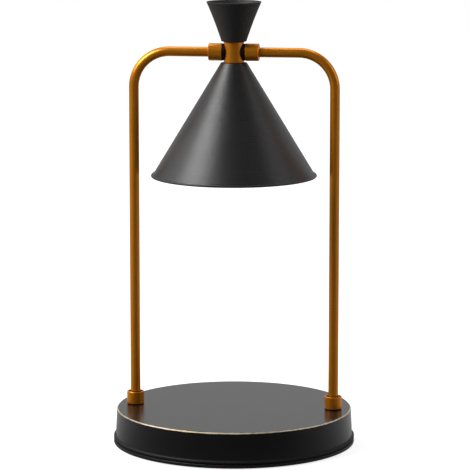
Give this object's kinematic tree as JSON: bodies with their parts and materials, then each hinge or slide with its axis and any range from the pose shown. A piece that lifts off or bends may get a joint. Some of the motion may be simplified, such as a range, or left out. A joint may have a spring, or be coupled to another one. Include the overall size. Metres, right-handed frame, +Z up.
{
  "type": "candle warmer lamp",
  "caption": "Table lamp that melts a jar candle from above: round weighted base, bent tube frame, and a tilting head with a cone shade, reflector bulb and small open cup on top.",
  "frame": {"origin": "centre of the base on the surface that the lamp stands on", "axes": "+Z up; the two tubes stand on the X axis and the bar between them runs along X; the front faces -Y and the cord inlet faces +Y"},
  "size_m": [0.156, 0.156, 0.2852],
  "materials": {
    "base_paint": "satin black powder coat, gold rubbed along the top edge",
    "shade_paint": "satin black paint",
    "base_plastic": "satin moulded black",
    "antique_gold": "satin antique gold lacquer",
    "pad_rubber": "matt black rubber",
    "bush_plastic": "matt black nylon",
    "washer_fibre": "matt black nylon",
    "block_plastic": "natural nylon",
    "lead_sheath": "black sheath",
    "wire_sleeve": "white glass fibre sleeve",
    "iron": "raw cast iron",
    "zinc_steel": "zinc plated",
    "contact_brass": "plain brass",
    "ceramic": "glazed white ceramic",
    "bulb_mirror": "pressed glass with an aluminium coating",
    "bulb_glass": "clear glass"
  },
  "bodies": {
    "stand": {"foot_pad": "pad_rubber", "bottom_plate": "base_plastic", "bottom_screws": "zinc_steel", "base_weight": "iron", "base_cover": "base_paint", "cord_bush": "bush_plastic", "terminal_block": "block_plastic", "left_post": "antique_gold", "right_post": "antique_gold", "left_foot_collar": "antique_gold", "right_foot_collar": "antique_gold", "left_foot_nut": "zinc_steel", "right_foot_nut": "zinc_steel", "foot_lock_washers": "zinc_steel", "foot_washers": "washer_fibre", "left_bar_collar": "antique_gold", "right_bar_collar": "antique_gold", "left_friction_washer": "washer_fibre", "right_friction_washer": "washer_fibre", "pivot_tube": "zinc_steel", "supply_lead": "lead_sheath"},
    "head": {"hub": "antique_gold", "upper_cup": "shade_paint", "cup_washer": "zinc_steel", "cup_screw": "zinc_steel", "shade": "shade_paint", "shade_nipple": "zinc_steel", "shade_washer": "zinc_steel", "shade_nut": "zinc_steel", "bracket_nut": "zinc_steel", "holder_bracket": "zinc_steel", "lamp_holder": "ceramic", "holder_screws": "zinc_steel", "holder_contacts": "contact_brass", "head_wires": "wire_sleeve"},
    "bulb": {"bulb_base": "ceramic", "bulb_pins": "contact_brass", "bulb_reflector": "bulb_mirror", "bulb_lens": "bulb_glass", "bulb_capsule": "bulb_glass"}
  },
  "joints": [
    {"name": "head_tilt", "type": "hinge", "parent": "stand", "child": "head", "pos_m": [0, 0, 0.2531], "axis": [1, 0, 0], "range_deg": [-45, 45]},
    {"name": "bulb_twist", "type": "hinge", "parent": "head", "child": "bulb", "pos_m": [0, 0, 0.2201], "axis": [0, 0, 1], "range_deg": [-35, 0]}
  ]
}
